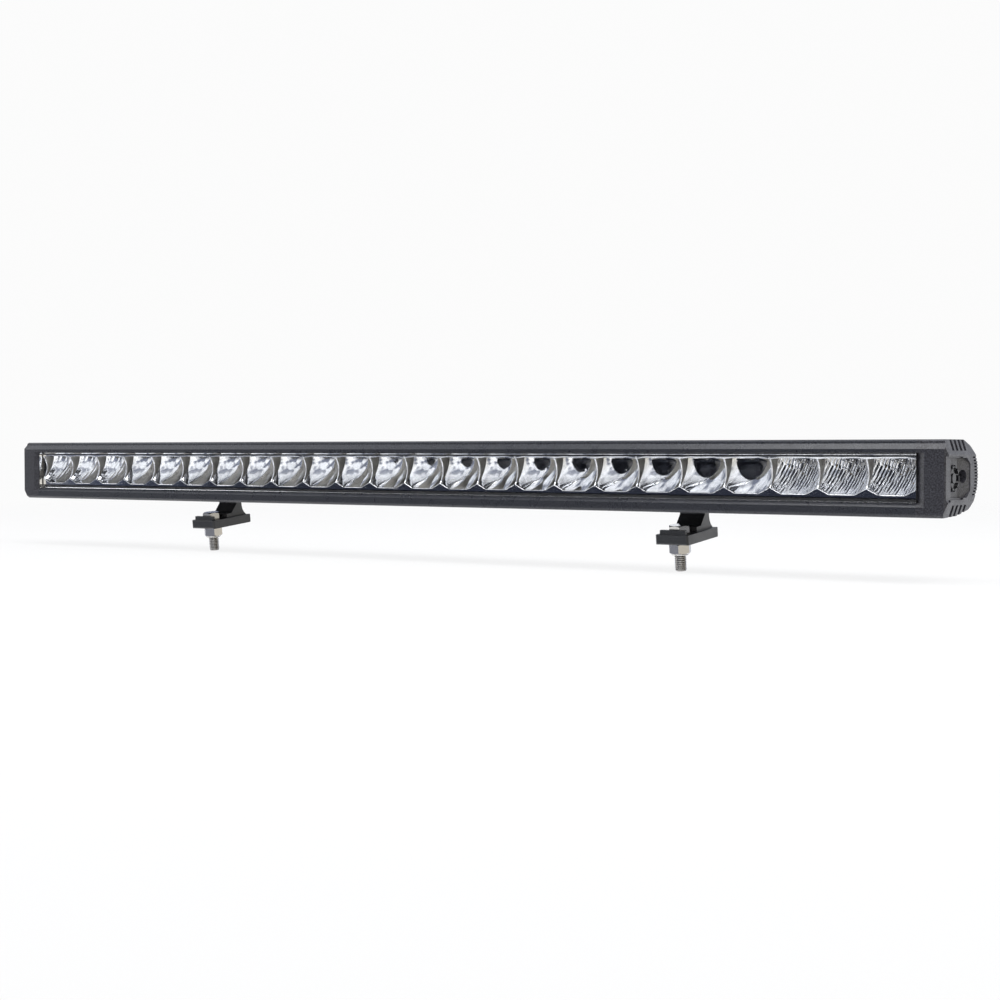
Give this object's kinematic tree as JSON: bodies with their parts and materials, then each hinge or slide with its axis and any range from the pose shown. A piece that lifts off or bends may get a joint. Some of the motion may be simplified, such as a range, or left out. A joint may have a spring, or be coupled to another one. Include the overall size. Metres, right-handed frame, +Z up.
{
  "type": "led light bar",
  "caption": "Long slim LED light bar: finned extruded housing, clear front lens over mirrored reflector cells, pocketed end caps and sliding, tilting bolt-down feet.",
  "frame": {"origin": "on the axis of the foot slot (the tilt axis of the feet), halfway along the bar", "axes": "+X along the bar, to the right of someone who faces the lens; -Y the way the light goes; +Z up"},
  "size_m": [0.8088, 0.0669, 0.0855],
  "materials": {
    "housing": "extruded aluminium with a fine-grained black powder coat",
    "end_cap": "die-cast aluminium with a fine-grained black powder coat",
    "lens": "clear hard-coated polycarbonate",
    "seal": "black silicone",
    "reflector": "moulded polycarbonate with a vacuum-metallised mirror coat",
    "led_board": "black solder mask on an aluminium core",
    "led": "phosphor under a clear silicone dome",
    "steel": "stainless steel",
    "dark_steel": "blackened steel",
    "driver_board": "green solder mask",
    "choke": "ferrite and black resin",
    "capacitor": "aluminium can",
    "plug": "black nylon",
    "gland": "black nylon",
    "shoe": "extruded aluminium, plain",
    "foot": "extruded aluminium, satin black"
  },
  "bodies": {
    "bar": {"housing": "housing", "lens": "lens", "lens_seal_top": "seal", "lens_seal_bottom": "seal", "reflector_1": "reflector", "reflector_2": "reflector", "reflector_3": "reflector", "reflector_4": "reflector", "reflector_5": "reflector", "reflector_6": "reflector", "reflector_7": "reflector", "reflector_8": "reflector", "led_board_1": "led_board", "led_board_2": "led_board", "led_board_3": "led_board", "led_board_4": "led_board", "leds": "led", "board_screws": "steel", "driver_board": "driver_board", "driver_chokes": "choke", "driver_capacitors": "capacitor", "end_cap_right": "end_cap", "end_cap_left": "end_cap", "cap_gasket_right": "seal", "cap_gasket_left": "seal", "cap_screws": "dark_steel", "breather_plug": "plug", "blank_plug": "plug", "gland_body": "gland", "gland_seal": "seal", "gland_nut": "gland"},
    "shoe_left": {"shoe_left": "shoe", "shoe_screws_left": "dark_steel"},
    "foot_left": {"foot_left": "foot", "foot_bolt_left": "steel"},
    "nut_left": {"foot_nut_left": "steel"},
    "shoe_right": {"shoe_right": "shoe", "shoe_screws_right": "dark_steel"},
    "foot_right": {"foot_right": "foot", "foot_bolt_right": "steel"},
    "nut_right": {"foot_nut_right": "steel"}
  },
  "joints": [
    {"name": "foot_slide_left", "type": "slide", "parent": "bar", "child": "shoe_left", "axis": [1, 0, 0], "range_m": [-0.16, 0.17]},
    {"name": "foot_tilt_left", "type": "hinge", "parent": "shoe_left", "child": "foot_left", "pos_m": [-0.201, 0, 0], "axis": [1, 0, 0], "range_deg": [-16, 10]},
    {"name": "nut_turn_left", "type": "hinge", "parent": "foot_left", "child": "nut_left", "pos_m": [-0.201, -0.01674, -0.03394], "axis": [0, -0.1045, 0.9945], "continuous": true},
    {"name": "foot_slide_right", "type": "slide", "parent": "bar", "child": "shoe_right", "axis": [1, 0, 0], "range_m": [-0.18, 0.144]},
    {"name": "foot_tilt_right", "type": "hinge", "parent": "shoe_right", "child": "foot_right", "pos_m": [0.2177, 0, 0], "axis": [1, 0, 0], "range_deg": [-16, 10]},
    {"name": "nut_turn_right", "type": "hinge", "parent": "foot_right", "child": "nut_right", "pos_m": [0.2177, -0.01674, -0.03394], "axis": [0, -0.1045, 0.9945], "continuous": true}
  ]
}
